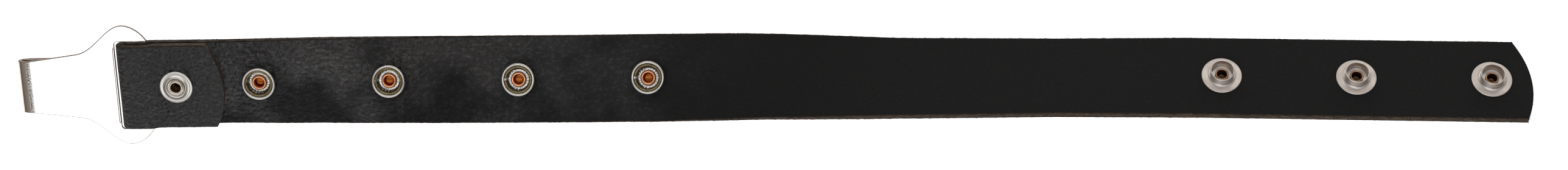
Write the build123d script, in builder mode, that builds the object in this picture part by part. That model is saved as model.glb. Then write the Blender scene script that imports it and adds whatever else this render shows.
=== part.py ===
from build123d import *
from math import cos, radians, sin, tan
import os

# A long leather strap with a bent sheet-metal hook held in a riveted loop at one end,
# spring snap sockets behind the hook and snap studs at the other end. The studs fold over
# into the sockets, which closes the strap into a loop. All lengths are in millimetres.
# +X runs from the hook to the free end, +Z is the side that carries the snaps.

# Leather
strap_width = 33.4
strap_thick = 3.1
seat_depth = 0.2            # how far a snap presses into the leather
twist_gap = 0.4             # between two lengths of strap that only twist
fold_gap = 1.4              # between two lengths of strap that fold

# Snap rows
snap_pitch = 50.0
socket_count = 4
stud_count = 3
last_socket_x = -44.5
first_stud_x = 172.5
snap_margin = 10.0          # from a snap row's end to the first fold line
fold_count = 16

# The strap's set twist: place along the strap, sideways bow and tilt of the face in degrees
strap_line = [
    (-250.0, -0.9, -21.0),
    (-207.0, -0.2, -20.5),
    (-144.5, 0.2, -10.0),
    (-94.5, 0.3, -4.0),
    (-44.5, 0.8, 1.5),
    (-2.0, 1.4, 15.0),
    (50.0, 0.7, 28.0),
    (110.0, 0.9, 32.0),
    (162.5, 0.9, 30.5),
    (287.5, -0.9, 30.5),
]
head_lift = 2.3             # the hook under the loop holds the strap's end off the table

# Moves the whole strap so that the frame's origin is on the table under its middle
origin_shift = (-0.48, 1.91, 0.13)

# Folded loop at the hook end
fold_skew = 0.0             # degrees in the strap's plane, the same as the hook's
loop_gap = 2.6              # between the two plies over the hook's bar
loop_fold_x = -243.7        # centre line of the fold
bar_x = -240.0              # centre line of the hook's bar
rivet_x = -225.8
rivet_ply_gap = 1.2         # between the two plies at the rivet
ramp_room = 1.0             # level leather left at each end of the flap's slope
ply_overlap = 2.0           # of the back ply's loft with the folded part
flap_crown_x = -207.9       # the flap's rounded end
flap_corner_x = (-211.3, -213.7)    # its two corners, on the -Y and +Y sides
flap_crown_y = 0.4
flap_trim = 4.0             # extra length, cut off along the rounded end
tail_crown_x = 287.3
tail_corner_x = (284.9, 281.0)
tail_crown_y = -0.8

# Hook
plate_thick = 1.2
hook_droop = -2.0           # degrees below the strap's plane at rest
bar_half = 3.7
slot_far = 8.7              # from the bar's centre line to the slot's far edge
slot_half_length = 17.7
slot_corner = 1.2
hook_reach = 46.5           # from the bar's centre line to the outside of the bend
bend_inner = 1.2
tongue_half = 10.5
neck_half = 12.9
neck_at = 24.0              # from the bar's centre line to where the shoulders begin
ear_half = 24.2
ear_at = 5.5                # from the bar's centre line to the widest place of the ears
ear_start = (-15.6, 17.7)   # a place on the hollow curve up to the ear
ear_foot_half = 18.0        # half width of the plate behind the slot
ear_foot_slope = (0.5, -0.9)
leg_end_at = 24.0           # where the return leg stops, from the bar's centre line

# Snap sockets
sheet = 0.45
socket_radius = 6.41
socket_rim_wire = 0.555
socket_height = 3.2
spring_wire = 0.45
spring_inner = 4.43
spring_height = 2.3
spring_split = 9.0          # degrees left open in the ring
post_bore = 1.83
post_radius = 2.2
post_flare = 2.87
post_flare_height = 1.5
rim_inset = 0.1             # of the socket's wall from the middle of its rolled rim

# Snap studs
stud_flange = 7.5
stud_height = 4.3
stud_head = 4.55
stud_neck = 4.3
stud_bore = 4.03
bead_length = 1.05
bead_ramp = 0.3             # slope under the bead
bead_edge = 0.25            # broken edge above it
lip_edge = 0.2              # broken edges of the flange and of the tube's mouth
flange_rise = 0.15          # of the flange's face above its edge
flange_border = 0.5
fillet_reach = (1.1, 0.5)   # of the hollow between flange and tube, outwards
fillet_rise = (0.35, 0.9)   # and upwards
bore_step = 0.3             # down to the eyelet's seat
eyelet_flare = 2.5
eyelet_height = 1.1

# Backs and the loop's rivet
cap_radius = 7.3
cap_height = 1.5
cap_edge = 0.5
cap_shoulder = (0.75, 0.85) # of the dome's radius and height, outer place
cap_crown = 0.45            # of the dome's radius where it is level
roll_corner = 0.6           # of a rolled rim's half width, broken at its outer corners
roll_mouth = 0.5            # and on its top
roll_foot = (0.4, 0.3)      # and underneath
barrel_play = 0.05
washer_radius = 6.38
washer_ring = 3.8           # radius of the raised ring on it
washer_thick = 0.55
washer_edge = (0.35, 0.25)  # the rolled edge, inwards and its height
ring_half = 0.5
ring_top = 0.95
washer_dip = 0.45
loop_tube_flare = 0.3
loop_tube_top = 1.3
loop_tube_radius = 2.43
loop_tube_bore = 1.83


def between(x, column):
    """Value of one column of strap_line at a place along the strap."""
    for low, high in zip(strap_line, strap_line[1:]):
        if x <= high[0]:
            break
    share = (x - low[0]) / (high[0] - low[0])
    return low[column] + share * (high[column] - low[column])


def rest_height(x):
    """Height of the strap's middle line when its lower edge or its caps touch the table."""
    tilt = radians(abs(between(x, 2)))
    on_edge = strap_width / 2 * sin(tilt) + strap_thick / 2 * cos(tilt)
    on_caps = (strap_thick / 2 + cap_height) * cos(tilt) + cap_radius * sin(tilt)
    lift = head_lift * max(0.0, (strap_line[2][0] - x) / (strap_line[2][0] - strap_line[0][0]))
    return max(on_edge, on_caps) + lift


def line_point(x):
    """Point of the strap's middle line."""
    return Vector(x, between(x, 1), rest_height(x)) + Vector(*origin_shift)


def stretch_frame(start_x, end_x, at_x, tilt=None):
    """Frame on a straight stretch: x along it, y across its width, z out of its face."""
    start = line_point(start_x)
    along = (line_point(end_x) - start).normalized()
    angle = radians(between(at_x, 2) if tilt is None else tilt)
    leaning = Vector(0, sin(angle), cos(angle))
    facing = (leaning - along * leaning.dot(along)).normalized()
    origin = start + along * ((at_x - start_x) / along.X)
    return Plane(origin=origin, x_dir=along, z_dir=facing)


def across(frame):
    """Plane cut square across the strap, for its section."""
    return Plane(origin=frame.origin, x_dir=frame.y_dir, z_dir=frame.x_dir)


def upright(frame):
    """Plane through the frame's x and z, for turned profiles and side views."""
    return Plane(origin=frame.origin, x_dir=frame.x_dir, z_dir=-frame.y_dir)


def turned(frame, outline):
    """Revolve a closed (radius, height) outline about the frame's z."""
    with BuildPart() as ring:
        with BuildSketch(upright(frame)):
            with BuildLine():
                Polyline(*outline, close=True)
            make_face()
        revolve(axis=Axis(frame.origin, frame.z_dir))
    return ring.part


def save(built, label):
    built.part.label = label
    export_step(built.part, f"parts/{label}.step")


os.makedirs("parts", exist_ok=True)
face = strap_thick / 2
socket_x = [last_socket_x - snap_pitch * n for n in reversed(range(socket_count))]
twist_x = [x + snap_pitch / 2 for x in socket_x[:-1]]
fold_first = last_socket_x + snap_margin
fold_last = first_stud_x - snap_margin
fold_step = (fold_last - fold_first) / (fold_count - 1)
fold_x = [fold_first + fold_step * n for n in range(fold_count)]


def at(frame, x, y=0.0, z=0.0, turn=0.0):
    """A frame moved by x, y and z along its own axes and turned about its own z."""
    return Plane(frame.location * Location((x, y, z), (0, 0, turn)))


def strap_length(start_x, end_x, first, last):
    """Solid of the straight stretch from start_x to end_x, cut short at first and last."""
    with BuildPart() as length:
        for x in (first, (first + last) / 2, last):
            with BuildSketch(across(stretch_frame(start_x, end_x, x))):
                Rectangle(strap_width, strap_thick)
        loft(ruled=True)
    return length.part


def press_snap(frame, flange_radius, barrel_radius):
    """Cut a snap's hole and its shallow pressed seats into the strap being built."""
    with BuildSketch(at(frame, 0, 0, -strap_thick)) as hole:
        Circle(barrel_radius + barrel_play)
    extrude(hole.sketch, amount=2 * strap_thick, mode=Mode.SUBTRACT)
    with BuildSketch(at(frame, 0, 0, face - seat_depth)) as front_seat:
        Circle(flange_radius + barrel_play)
    extrude(front_seat.sketch, amount=strap_thick, mode=Mode.SUBTRACT)
    with BuildSketch(at(frame, 0, 0, seat_depth - face)) as back_seat:
        Circle(cap_radius + barrel_play)
    extrude(back_seat.sketch, amount=-strap_thick, mode=Mode.SUBTRACT)


# ---- Frames of the rigid lengths ------------------------------------------------------

head_frame = stretch_frame(strap_line[0][0], twist_x[0], rivet_x, tilt=strap_line[1][2])
strap_ends = [strap_line[0][0]] + twist_x + [fold_first]
socket_frames = [
    stretch_frame(start, end, x) for start, end, x in zip(strap_ends, strap_ends[1:], socket_x)
]
tail_frame = stretch_frame(fold_last, strap_line[-1][0], fold_last)
stud_frames = [at(tail_frame, snap_margin + snap_pitch * n) for n in range(stud_count)]


def head_u(x):
    """Distance along the head from the rivet to the place x."""
    return (x - rivet_x) / head_frame.x_dir.X


# ---- Strap: head with the folded loop ---------------------------------------------------

skew_tan = tan(radians(fold_skew))
half_width = strap_width / 2
fold_outer = loop_gap / 2 + strap_thick
bar_height = face + loop_gap / 2
front_high = face + loop_gap + strap_thick
front_pressed = face + rivet_ply_gap + strap_thick
ramp_start = head_u(bar_x) + bar_half + ramp_room
ramp_end = -washer_radius - ramp_room
flap_stock_end = head_u(flap_crown_x) + flap_trim
fold_u = head_u(loop_fold_x)

with BuildPart() as strap_head:
    # Back ply, fold and front ply in side view, pushed across the width along the skewed fold
    side = upright(at(head_frame, half_width * skew_tan, -half_width))
    with BuildSketch(side):
        with BuildLine():
            outer_fold = ThreePointArc(
                (fold_u, -face), (fold_u - fold_outer, bar_height), (fold_u, front_high)
            )
            top = Polyline(
                outer_fold @ 1,
                (ramp_start, front_high),
                (ramp_end, front_pressed),
                (flap_stock_end, front_pressed),
                (flap_stock_end, front_pressed - strap_thick),
                (ramp_end, front_pressed - strap_thick),
                (ramp_start, front_high - strap_thick),
                (fold_u, front_high - strap_thick),
            )
            inner_fold = ThreePointArc(
                top @ 1, (fold_u - loop_gap / 2, bar_height), (fold_u, face)
            )
            Polyline(inner_fold @ 1, (ramp_end, face), (ramp_end, -face), outer_fold @ 0)
        make_face()
    extrude(amount=strap_width / cos(radians(fold_skew)),
            dir=head_frame.y_dir - head_frame.x_dir * skew_tan)
    # The front ply ends in a shallow rounded cut
    with BuildSketch(at(head_frame, 0, 0, -fold_outer)):
        with BuildLine():
            crown = ThreePointArc(
                (head_u(flap_corner_x[0]), -half_width),
                (head_u(flap_crown_x), flap_crown_y),
                (head_u(flap_corner_x[1]), half_width),
            )
            Polyline(
                crown @ 1,
                (fold_u - 2 * fold_outer, half_width),
                (fold_u - 2 * fold_outer, -half_width),
                crown @ 0,
            )
        make_face()
    extrude(amount=4 * fold_outer, mode=Mode.INTERSECT)
    # Back ply on to the first twist line
    with BuildSketch(across(at(head_frame, ramp_end - ply_overlap))):
        Rectangle(strap_width, strap_thick)
    with BuildSketch(across(at(head_frame, head_u(flap_crown_x)))):
        Rectangle(strap_width, strap_thick)
    loft(ruled=True)
    with BuildSketch(across(at(head_frame, head_u(flap_crown_x)))):
        Rectangle(strap_width, strap_thick)
    with BuildSketch(across(stretch_frame(strap_ends[0], twist_x[0], twist_x[0]))):
        Rectangle(strap_width, strap_thick)
    loft(ruled=True)
    # Hole and back seat for the loop's rivet, and the first socket's hole and seats
    with BuildSketch(at(head_frame, 0, 0, -fold_outer)):
        Circle(loop_tube_radius + barrel_play)
    extrude(amount=4 * fold_outer, mode=Mode.SUBTRACT)
    with BuildSketch(at(head_frame, 0, 0, seat_depth - face)):
        Circle(cap_radius + barrel_play)
    extrude(amount=-strap_thick, mode=Mode.SUBTRACT)
    press_snap(socket_frames[0], socket_radius, post_radius)
save(strap_head, "strap_head")

# ---- Strap: lengths with one socket each, folding lengths and the tail -------------------

for n in range(1, socket_count):
    first = strap_ends[n] + twist_gap / 2
    last = strap_ends[n + 1] - (twist_gap if n < socket_count - 1 else fold_gap) / 2
    with BuildPart() as strap_socket:
        add(strap_length(strap_ends[n], strap_ends[n + 1], first, last))
        press_snap(socket_frames[n], socket_radius, post_radius)
    save(strap_socket, f"strap_socket_{n + 1}")

for n in range(fold_count - 1):
    first = fold_x[n] + fold_gap / 2
    last = fold_x[n + 1] - fold_gap / 2
    with BuildPart() as strap_fold:
        add(strap_length(fold_x[n], fold_x[n + 1], first, last))
    save(strap_fold, f"strap_fold_{n + 1}")


def tail_u(x):
    """Distance along the tail from the last fold line to the place x."""
    return (x - fold_last) / tail_frame.x_dir.X


with BuildPart() as strap_tail:
    with BuildSketch(at(tail_frame, 0, 0, -face)):
        with BuildLine():
            crown = ThreePointArc(
                (tail_u(tail_corner_x[0]), -half_width),
                (tail_u(tail_crown_x), tail_crown_y),
                (tail_u(tail_corner_x[1]), half_width),
            )
            Polyline(
                crown @ 1, (fold_gap / 2, half_width), (fold_gap / 2, -half_width), crown @ 0
            )
        make_face()
    extrude(amount=strap_thick)
    for frame in stud_frames:
        press_snap(frame, stud_flange, post_radius)
save(strap_tail, "strap_tail")

# ---- Hook ---------------------------------------------------------------------------------

bar_frame = at(head_frame, head_u(bar_x), 0, bar_height, fold_skew)
hook_frame = Plane(bar_frame.location * Location((0, 0, 0), (0, -hook_droop, 0)))
bend_x = bend_inner + plate_thick - hook_reach
bend_middle = Vector(bend_x, 0, -bend_inner - plate_thick / 2)
front_face = plate_thick / 2
shoulder_x = -neck_at

with BuildPart() as hook_plate:
    with BuildSketch(at(hook_frame, 0, 0, -front_face)):
        with BuildLine():
            edge = Line((bend_x, tongue_half), (shoulder_x, neck_half))
            shoulder = Spline(
                edge @ 1, ear_start, (-ear_at, ear_half), (bar_half, ear_foot_half),
                tangents=[edge % 1, ear_foot_slope],
            )
            Polyline(shoulder @ 1, (bar_half, 0), (bend_x, 0), edge @ 0)
        make_face()
        mirror(about=Plane.XZ)
        with Locations(((-slot_far - bar_half) / 2, 0)):
            RectangleRounded(
                slot_far - bar_half, 2 * slot_half_length, slot_corner, mode=Mode.SUBTRACT
            )
    extrude(amount=plate_thick)
    # The tongue's bend and its return leg
    with BuildSketch(upright(at(hook_frame, 0, -tongue_half))):
        with BuildLine():
            outside = ThreePointArc(
                (bend_x, front_face),
                (bend_x - bend_inner - plate_thick, bend_middle.Z),
                (bend_x, 2 * bend_middle.Z - front_face),
            )
            leg = Polyline(
                outside @ 1,
                (-leg_end_at, 2 * bend_middle.Z - front_face),
                (-leg_end_at, 2 * bend_middle.Z + front_face),
                (bend_x, 2 * bend_middle.Z + front_face),
            )
            inside = ThreePointArc(
                leg @ 1, (bend_x - bend_inner, bend_middle.Z), (bend_x, -front_face)
            )
            Line(inside @ 1, outside @ 0)
        make_face()
    extrude(amount=-2 * tongue_half)
save(hook_plate, "hook_plate")

# ---- Snap sockets -----------------------------------------------------------------------------


def cap_outline(bore=0.0):
    """Half section of a domed cap on the strap's back, measured from the middle line down."""
    seat = seat_depth - face
    return [
        (bore, seat), (cap_radius, seat), (cap_radius, seat - cap_edge),
        (cap_radius * cap_shoulder[0], -face - cap_height * cap_shoulder[1]),
        (cap_radius * cap_crown, -face - cap_height), (bore, -face - cap_height),
    ]


def barrel_outline(bore, radius, flare, floor, height, foot):
    """Half section of a tubular rivet whose top is rolled outwards above the floor."""
    roll = (flare - bore) / 2
    return [
        (bore, foot + sheet), (bore, height - roll * roll_corner),
        (bore + roll * roll_mouth, height), (flare - roll * roll_mouth, height),
        (flare, height - roll * roll_corner), (flare, floor + roll * roll_foot[1]),
        (flare - roll * roll_foot[0], floor), (radius, floor),
        (radius, foot), (0, foot), (0, foot + sheet),
    ]


base = face - seat_depth
barrel_foot = seat_depth - face
rim_middle = socket_radius - socket_rim_wire
wall_inner = rim_middle - rim_inset
wall_outer = wall_inner + sheet
rim_height = base + socket_height - socket_rim_wire

for n, frame in enumerate(socket_frames, start=1):
    with BuildPart() as socket_shell:
        with BuildSketch(upright(frame)):
            with BuildLine():
                Polyline(
                    (post_radius + barrel_play, base),
                    (wall_inner, base),
                    (wall_outer, base + sheet),
                    (wall_outer, rim_height),
                    (wall_inner, rim_height),
                    (wall_inner, base + sheet),
                    (post_radius + barrel_play, base + sheet),
                    close=True,
                )
            make_face()
            with Locations((rim_middle, rim_height)):
                Circle(socket_rim_wire)
        revolve(axis=Axis(frame.origin, frame.z_dir))
    save(socket_shell, f"socket_{n}_shell")

    with BuildPart() as socket_spring:
        split_frame = at(frame, 0, 0, 0, 180 + spring_split / 2)
        with BuildSketch(upright(split_frame)):
            with Locations((spring_inner + spring_wire, base + spring_height)):
                Circle(spring_wire)
        revolve(axis=Axis(frame.origin, frame.z_dir), revolution_arc=360 - spring_split)
    save(socket_spring, f"socket_{n}_spring")

    with BuildPart() as socket_post:
        add(turned(frame, barrel_outline(
            post_bore, post_radius, post_flare, base + sheet, base + post_flare_height, barrel_foot
        )))
    save(socket_post, f"socket_{n}_post")

    with BuildPart() as socket_cap:
        add(turned(frame, cap_outline()))
    save(socket_cap, f"socket_{n}_cap")

# ---- Snap studs --------------------------------------------------------------------------------

stud_top = base + stud_height
flange_top = base + sheet
bead_start = stud_top - bead_length
for n, frame in enumerate(stud_frames, start=1):
    with BuildPart() as stud_shell:
        add(turned(frame, [
            (post_radius + barrel_play, base), (stud_flange - lip_edge, base),
            (stud_flange, base + lip_edge), (stud_flange, flange_top),
            (stud_flange - flange_border, flange_top + flange_rise),
            (stud_neck + fillet_reach[0], flange_top + flange_rise),
            (stud_neck + fillet_reach[1], flange_top + fillet_rise[0]),
            (stud_neck, flange_top + fillet_rise[1]), (stud_neck, bead_start),
            (stud_head, bead_start + bead_ramp), (stud_head, stud_top - bead_edge),
            (stud_head - lip_edge, stud_top), (stud_bore + flange_rise, stud_top),
            (stud_bore, stud_top - lip_edge), (stud_bore, flange_top + lip_edge),
            (stud_bore - bore_step, flange_top), (post_radius + barrel_play, flange_top),
        ]))
    save(stud_shell, f"stud_{n}_shell")

    with BuildPart() as stud_eyelet:
        add(turned(frame, barrel_outline(
            post_bore, post_radius, eyelet_flare, flange_top, flange_top + eyelet_height,
            barrel_foot,
        )))
    save(stud_eyelet, f"stud_{n}_eyelet")

    with BuildPart() as stud_cap:
        add(turned(frame, cap_outline()))
    save(stud_cap, f"stud_{n}_cap")

# ---- Rivet through the loop ---------------------------------------------------------------------

loop_face = front_pressed
with BuildPart() as loop_washer:
    add(turned(head_frame, [
        (loop_tube_radius, loop_face), (washer_radius, loop_face),
        (washer_radius, loop_face + washer_edge[1]),
        (washer_radius - washer_edge[0], loop_face + washer_thick),
        (washer_ring + ring_half, loop_face + washer_thick), (washer_ring, loop_face + ring_top),
        (washer_ring - ring_half, loop_face + washer_thick),
        (loop_tube_radius, loop_face + washer_dip),
    ]))
save(loop_washer, "loop_washer")

with BuildPart() as loop_rivet:
    add(turned(head_frame, barrel_outline(
        loop_tube_bore, loop_tube_radius, loop_tube_radius + loop_tube_flare,
        loop_face + washer_thick, loop_face + loop_tube_top, barrel_foot,
    )))
save(loop_rivet, "loop_rivet")

with BuildPart() as loop_rivet_cap:
    add(turned(head_frame, cap_outline()))
save(loop_rivet_cap, "loop_rivet_cap")
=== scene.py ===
import math
import random

import bmesh
import bpy
import numpy as np
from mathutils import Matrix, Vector, noise


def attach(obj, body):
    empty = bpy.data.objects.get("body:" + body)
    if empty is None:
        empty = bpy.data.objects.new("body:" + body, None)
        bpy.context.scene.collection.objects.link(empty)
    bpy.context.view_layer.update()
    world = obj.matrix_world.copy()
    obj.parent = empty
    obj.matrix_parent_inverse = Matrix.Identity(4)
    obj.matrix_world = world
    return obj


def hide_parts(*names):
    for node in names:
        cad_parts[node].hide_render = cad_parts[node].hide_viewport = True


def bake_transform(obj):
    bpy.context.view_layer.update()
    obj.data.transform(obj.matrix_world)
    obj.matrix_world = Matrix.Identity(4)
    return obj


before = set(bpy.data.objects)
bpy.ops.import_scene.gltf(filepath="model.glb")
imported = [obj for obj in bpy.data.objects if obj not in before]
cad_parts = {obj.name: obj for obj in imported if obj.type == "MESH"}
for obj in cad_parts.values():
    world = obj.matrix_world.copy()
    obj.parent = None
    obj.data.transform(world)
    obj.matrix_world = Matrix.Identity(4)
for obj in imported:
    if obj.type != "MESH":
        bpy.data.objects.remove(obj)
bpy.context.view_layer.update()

# Lengths are in millimetres, in the frame's own axes, unless a comment says metres.
MM = 0.001
rng = random.Random(7)

# ---- The strap's driving sizes, the same as the frame's ----
STRAP_WIDTH = 33.4
STRAP_THICK = 3.1
FACE = STRAP_THICK / 2
SEAT = 0.2
STRAP_LINE = [
    (-250.0, -0.9, -21.0),
    (-207.0, -0.2, -20.5),
    (-144.5, 0.2, -10.0),
    (-94.5, 0.3, -4.0),
    (-44.5, 0.8, 1.5),
    (-2.0, 1.4, 15.0),
    (50.0, 0.7, 28.0),
    (110.0, 0.9, 32.0),
    (162.5, 0.9, 30.5),
    (287.5, -0.9, 30.5),
]
HEAD_LIFT = 2.3
ORIGIN_SHIFT = np.array([-0.48, 1.91, 0.13])
CAP_RADIUS = 7.3
CAP_HEIGHT = 1.5
SNAP_PITCH = 50.0
SNAP_MARGIN = 10.0       # from the last fold line to the first stud
SOCKET_X = [-194.5, -144.5, -94.5, -44.5]
LAST_STUD_X = 272.5
STUD_COUNT = 3
SOCKET_RADIUS = 6.41
STUD_FLANGE = 7.5
FOLD_FIRST = -34.5
FOLD_LAST = 162.5
FOLD_COUNT = 16
FOLD_X = [FOLD_FIRST + (FOLD_LAST - FOLD_FIRST) / (FOLD_COUNT - 1) * n for n in range(FOLD_COUNT)]
TWIST_X = [-169.5, -119.5, -69.5]
STRAP_START = STRAP_LINE[0][0]
STRAP_STOP = STRAP_LINE[-1][0]
RIVET_X = -225.8
BAR_X = -240.0
LOOP_GAP = 2.6
LOOP_FOLD_X = -243.7
RIVET_PLY_GAP = 1.2
WASHER_RADIUS = 6.38
FLAP_CROWN_X = -207.9
FLAP_CORNER_X = (-211.3, -213.7)
TAIL_CROWN_X = 287.3
TAIL_CORNER_X = (284.9, 281.0)
HOOK_DROOP = -2.0
HOOK_REACH = 46.5


def column(x, index):
    for low, high in zip(STRAP_LINE, STRAP_LINE[1:]):
        if x <= high[0]:
            break
    share = (x - low[0]) / (high[0] - low[0])
    return low[index] + share * (high[index] - low[index])


def rest_height(x):
    tilt = math.radians(abs(column(x, 2)))
    on_edge = STRAP_WIDTH / 2 * math.sin(tilt) + FACE * math.cos(tilt)
    on_caps = (FACE + CAP_HEIGHT) * math.cos(tilt) + CAP_RADIUS * math.sin(tilt)
    run = STRAP_LINE[2][0] - STRAP_LINE[0][0]
    return max(on_edge, on_caps) + HEAD_LIFT * max(0.0, (STRAP_LINE[2][0] - x) / run)


def line_point(x):
    return np.array([x, column(x, 1), rest_height(x)]) + ORIGIN_SHIFT


def unit(v):
    return v / np.linalg.norm(v)


class Place:
    """A local frame: x along the strap, y across it, z out of its face, in millimetres."""

    def __init__(self, origin, along, facing):
        self.origin, self.x, self.z = origin, unit(along), unit(facing)
        self.y = np.cross(self.z, self.x)

    def at(self, x=0.0, y=0.0, z=0.0):
        return self.origin + self.x * x + self.y * y + self.z * z

    def moved(self, x=0.0, y=0.0, z=0.0):
        return Place(self.at(x, y, z), self.x, self.z)

    def drooped(self, degrees):
        a = math.radians(degrees)
        return Place(
            self.origin,
            self.x * math.cos(a) + self.z * math.sin(a),
            self.z * math.cos(a) - self.x * math.sin(a),
        )


def stretch_place(start_x, end_x, at_x, tilt=None):
    start = line_point(start_x)
    along = unit(line_point(end_x) - start)
    angle = math.radians(column(at_x, 2) if tilt is None else tilt)
    leaning = np.array([0, math.sin(angle), math.cos(angle)])
    facing = leaning - along * leaning.dot(along)
    return Place(start + along * ((at_x - start_x) / along[0]), along, facing)


BREAKS = [STRAP_START] + TWIST_X + FOLD_X + [STRAP_STOP]
HEAD_TILT = STRAP_LINE[1][2]
head_place = stretch_place(STRAP_START, TWIST_X[0], RIVET_X, HEAD_TILT)
socket_places = [
    stretch_place(a, b, x)
    for a, b, x in zip([STRAP_START] + TWIST_X, TWIST_X + [FOLD_FIRST], SOCKET_X)
]
tail_place = stretch_place(FOLD_LAST, STRAP_STOP, FOLD_LAST)
stud_places = [tail_place.moved(SNAP_MARGIN + SNAP_PITCH * n) for n in range(STUD_COUNT)]


def strap_place(x):
    """Frame of the strap's middle line at x, on whichever straight stretch holds it."""
    for start, end in zip(BREAKS, BREAKS[1:]):
        if x <= end:
            break
    if x < FLAP_CROWN_X:
        return stretch_place(start, end, x, HEAD_TILT)
    if x > FOLD_LAST:
        return tail_place.moved((x - FOLD_LAST) / tail_place.x[0])
    return stretch_place(start, end, x)


# ---- Mesh helpers ----


def to_scene(obj):
    bpy.context.scene.collection.objects.link(obj)


def new_object(name, points, faces, materials, indices=None, smooth_angle=40.0):
    """Mesh object from points in millimetres, smooth shaded with its sharp edges kept."""
    mesh = bpy.data.meshes.new(name)
    mesh.from_pydata((np.asarray(points) * MM).tolist(), [], faces)
    for material in materials:
        mesh.materials.append(material)
    if indices is not None:
        mesh.polygons.foreach_set("material_index", np.asarray(indices, np.int32))
    mesh.polygons.foreach_set("use_smooth", np.ones(len(mesh.polygons), bool))
    mesh.update()
    mesh.set_sharp_from_angle(angle=math.radians(smooth_angle))
    obj = bpy.data.objects.new(name, mesh)
    to_scene(obj)
    return obj


def arc(cx, cz, radius, start, end, count=8):
    """Points of an arc in a side view, angles in degrees."""
    return [
        (cx + radius * math.cos(math.radians(a)), cz + radius * math.sin(math.radians(a)))
        for a in np.linspace(start, end, count)
    ]


LATHE_SEGMENTS = 96
ON_AXIS = 1e-6


def lathe(name, place, outline, material, ripple=None):
    """Solid of revolution about the place's z from a closed (radius, height) outline."""
    rings, points = [], []
    for r, z in outline:
        if r < ON_AXIS:
            rings.append([len(points)])
            points.append(place.at(0, 0, z))
            continue
        rings.append(list(range(len(points), len(points) + LATHE_SEGMENTS)))
        for k in range(LATHE_SEGMENTS):
            a = 2 * math.pi * k / LATHE_SEGMENTS
            lift = ripple(r, z, a) if ripple else 0.0
            points.append(place.at(r * math.cos(a), r * math.sin(a), z + lift))
    faces = []
    closing = outline[0][0] > ON_AXIS or outline[-1][0] > ON_AXIS
    pairs = list(zip(rings, rings[1:] + ([rings[0]] if closing else [])))
    for low, high in pairs if closing else pairs[: len(rings) - 1]:
        if len(low) == 1 and len(high) == 1:
            continue
        for k in range(LATHE_SEGMENTS):
            n = (k + 1) % LATHE_SEGMENTS
            if len(low) == 1:
                faces.append((low[0], high[n], high[k]))
            elif len(high) == 1:
                faces.append((low[k], low[n], high[0]))
            else:
                faces.append((low[k], low[n], high[n], high[k]))
    obj = new_object(name, points, faces, [material])
    recalc(obj)
    return obj


def tube_faces(spans, sides):
    """Faces of a closed tube from spans + 1 rings of points, each with that many sides."""
    faces = []
    for i in range(spans):
        for k in range(sides):
            n = (k + 1) % sides
            faces.append((i * sides + k, i * sides + n, (i + 1) * sides + n, (i + 1) * sides + k))
    faces.append(tuple(range(sides)))
    faces.append(tuple(spans * sides + k for k in reversed(range(sides))))
    return faces


def recalc(obj):
    """Point every face outwards."""
    bm = bmesh.new()
    bm.from_mesh(obj.data)
    bmesh.ops.recalc_face_normals(bm, faces=bm.faces)
    bm.to_mesh(obj.data)
    bm.free()


# ---- Procedural materials ----


def fill_ramp(elements, stops):
    while len(elements) < len(stops):
        elements.new(0.5)
    for element, (place, colour) in zip(elements, stops):
        element.position, element.color = place, (*colour, 1.0)


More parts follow.
